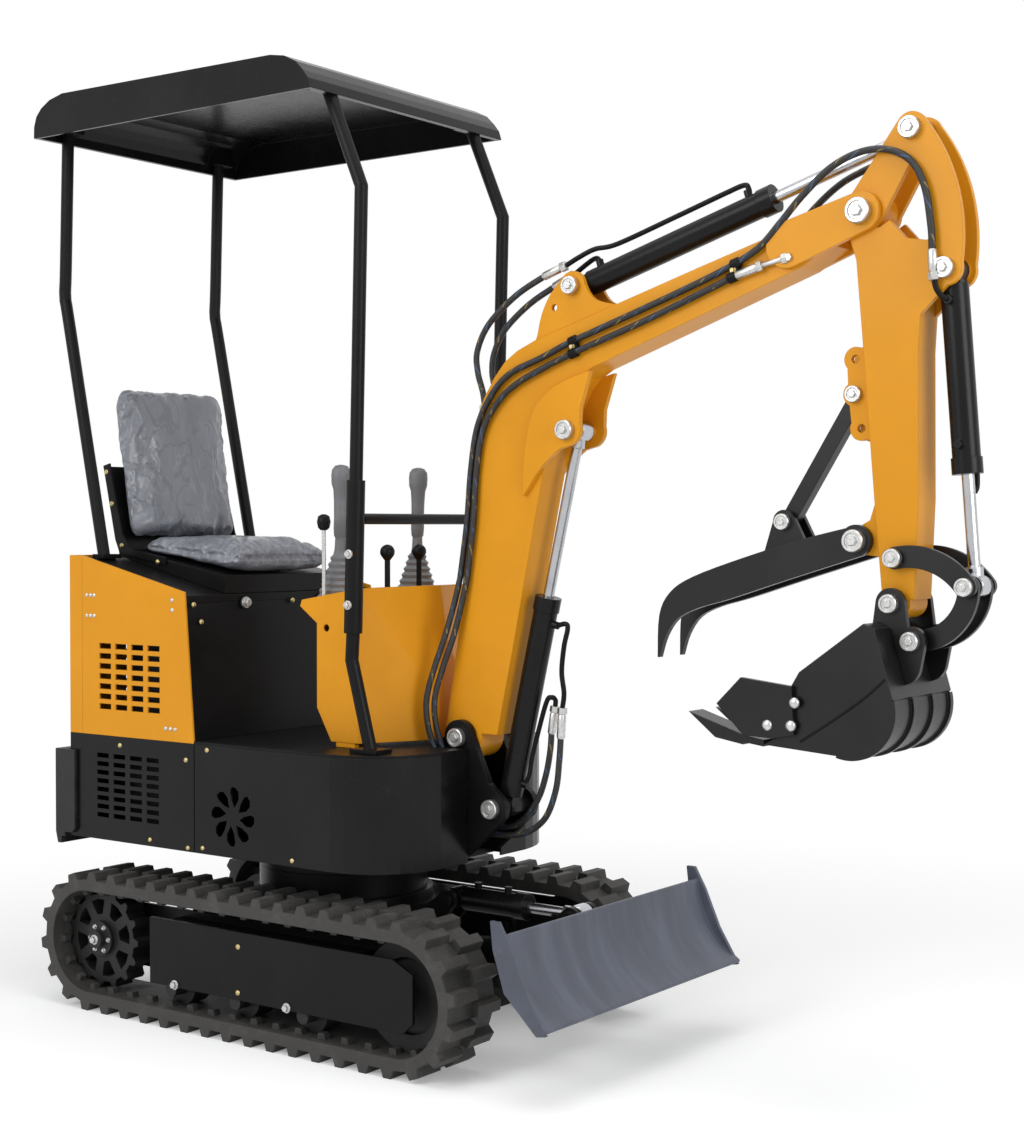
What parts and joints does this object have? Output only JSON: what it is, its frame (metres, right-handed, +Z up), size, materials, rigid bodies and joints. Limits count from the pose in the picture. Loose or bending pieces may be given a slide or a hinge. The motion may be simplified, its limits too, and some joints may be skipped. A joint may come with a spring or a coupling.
{
  "type": "mini excavator",
  "caption": "Compact tracked excavator with a canopy, an operator seat, a slewing house, a bent boom, a stick, a bucket with a thumb, and a dozer blade.",
  "frame": {"origin": "on the ground, under the middle of the bounding box", "axes": "+X forward over the blade, +Y to the operator's left, +Z up"},
  "size_m": [2.489, 0.828, 2.366],
  "materials": {
    "black_paint": "satin black paint",
    "cast": "black painted casting",
    "grey_paint": "satin slate grey paint",
    "yellow_paint": "gloss orange-yellow paint",
    "chrome": "hard chrome",
    "track": "moulded rubber",
    "seat": "grey vinyl under clear wrap",
    "lever": "moulded grip",
    "hose": "hydraulic hose"
  },
  "bodies": {
    "undercarriage": {"centre_frame": "black_paint", "slew_ring": "black_paint", "track_frame_right": "black_paint", "track_frame_left": "black_paint", "track_right": "track", "track_left": "track", "drive_sprockets": "cast", "idlers": "cast", "track_rollers": "cast", "travel_motors": "cast"},
    "blade": {"blade_board": "grey_paint", "blade_arms": "black_paint"},
    "blade_barrel": {"blade_barrel": "black_paint"},
    "blade_rod": {"blade_rod": "chrome"},
    "house": {"deck_frame": "black_paint", "boom_bracket": "black_paint", "side_panel_right": "black_paint", "side_panel_left": "black_paint", "lower_cover_right": "black_paint", "lower_cover_left": "black_paint", "counterweight": "cast", "engine_cover_right": "yellow_paint", "engine_cover_left": "yellow_paint", "engine_cover_rear": "yellow_paint", "engine_deck": "black_paint", "engine_block": "cast", "seat_box": "black_paint", "floor_plate": "black_paint", "front_hood": "yellow_paint", "seat_frame": "black_paint", "seat_cushion": "seat", "seat_back": "seat", "joysticks": "lever", "travel_levers": "lever", "front_posts": "black_paint", "rear_posts": "black_paint", "crossbar": "black_paint", "canopy_roof": "black_paint"},
    "boom": {"boom": "yellow_paint", "boom_ears": "yellow_paint", "boom_hoses": "hose"},
    "lift_barrel": {"lift_barrel": "black_paint"},
    "lift_rod": {"lift_rod": "chrome"},
    "arm_barrel": {"arm_barrel": "black_paint"},
    "arm_rod": {"arm_rod": "chrome"},
    "stick": {"stick": "yellow_paint", "thumb": "black_paint", "thumb_strut": "black_paint", "strut_ears": "yellow_paint"},
    "dig_barrel": {"dig_barrel": "black_paint"},
    "dig_rod": {"dig_rod": "chrome"},
    "guide_links": {"guide_links": "black_paint"},
    "bucket_links": {"bucket_links": "black_paint"},
    "bucket": {"bucket_shell": "black_paint", "bucket_ears": "black_paint", "bucket_lip": "black_paint", "side_cutters": "black_paint"}
  },
  "joints": [
    {"name": "slew", "type": "hinge", "parent": "undercarriage", "child": "house", "pos_m": [-0.49, 0, 0.4], "axis": [0, 0, 1], "continuous": true},
    {"name": "boom", "type": "hinge", "parent": "house", "child": "boom", "pos_m": [-0.064, 0, 0.733], "axis": [0, -1, 0], "range_deg": [-44, 4]},
    {"name": "stick", "type": "hinge", "parent": "boom", "child": "stick", "pos_m": [0.984, 0, 1.894], "axis": [0, 1, 0], "range_deg": [-85, 14]},
    {"name": "bucket", "type": "hinge", "parent": "stick", "child": "bucket", "pos_m": [1.061, 0, 1.083], "axis": [0, 1, 0], "range_deg": [-105, 18]},
    {"name": "blade", "type": "hinge", "parent": "undercarriage", "child": "blade", "pos_m": [-0.09, 0, 0.235], "axis": [0, -1, 0], "range_deg": [-35, 5]},
    {"name": "lift_turn", "type": "hinge", "parent": "house", "child": "lift_barrel", "pos_m": [0.038, 0, 0.569], "axis": [0, -1, 0], "range_deg": [-39.67, 4.06]},
    {"name": "lift_stroke", "type": "slide", "parent": "lift_barrel", "child": "lift_rod", "axis": [0.2253, 0, 0.9743], "range_m": [-0.12895, 0.01445]},
    {"name": "arm_turn", "type": "hinge", "parent": "boom", "child": "arm_barrel", "pos_m": [0.25, 0, 1.797], "axis": [0, -1, 0], "range_deg": [-1.64, 7.4]},
    {"name": "arm_stroke", "type": "slide", "parent": "arm_barrel", "child": "arm_rod", "axis": [0.9559, 0, 0.2936], "range_m": [-0.25267, 0.04412]},
    {"name": "blade_turn", "type": "hinge", "parent": "undercarriage", "child": "blade_barrel", "pos_m": [-0.118, 0, 0.33], "axis": [0, -1, 0], "range_deg": [-31.3, 4.9]},
    {"name": "blade_stroke", "type": "slide", "parent": "blade_barrel", "child": "blade_rod", "axis": [1, 0, 0], "range_m": [-0.01055, 0.05587]},
    {"name": "dig_turn", "type": "hinge", "parent": "stick", "child": "dig_barrel", "pos_m": [1.165, 0, 1.764], "axis": [0, 1, 0], "range_deg": [-0.55, 0.77]},
    {"name": "dig_stroke", "type": "slide", "parent": "dig_barrel", "child": "dig_rod", "axis": [0.0788, 0, -0.9969], "range_m": [-0.18547, 0.03428]},
    {"name": "guide", "type": "hinge", "parent": "stick", "child": "guide_links", "pos_m": [1.063, 0, 1.176], "axis": [0, 1, 0], "range_deg": [-67.42, 11.97]},
    {"name": "link", "type": "hinge", "parent": "guide_links", "child": "bucket_links", "pos_m": [1.216, 0, 1.119], "axis": [0, 1, 0], "range_deg": [-7.1, 39.01]}
  ],
  "couplings": [
    {"joint": "lift_turn", "follows": "boom", "ratio": 0.89031},
    {"joint": "lift_stroke", "follows": "boom", "m_per_rad": 0.16401},
    {"joint": "arm_turn", "follows": "stick", "ratio": -0.081133},
    {"joint": "arm_stroke", "follows": "stick", "m_per_rad": 0.1683},
    {"joint": "blade_turn", "follows": "blade", "ratio": 0.87999},
    {"joint": "blade_stroke", "follows": "blade", "m_per_rad": -0.086547},
    {"joint": "dig_turn", "follows": "bucket", "ratio": -0.002611},
    {"joint": "dig_stroke", "follows": "bucket", "m_per_rad": 0.099567},
    {"joint": "guide", "follows": "bucket", "ratio": 0.6373},
    {"joint": "link", "follows": "bucket", "ratio": -0.36674}
  ]
}
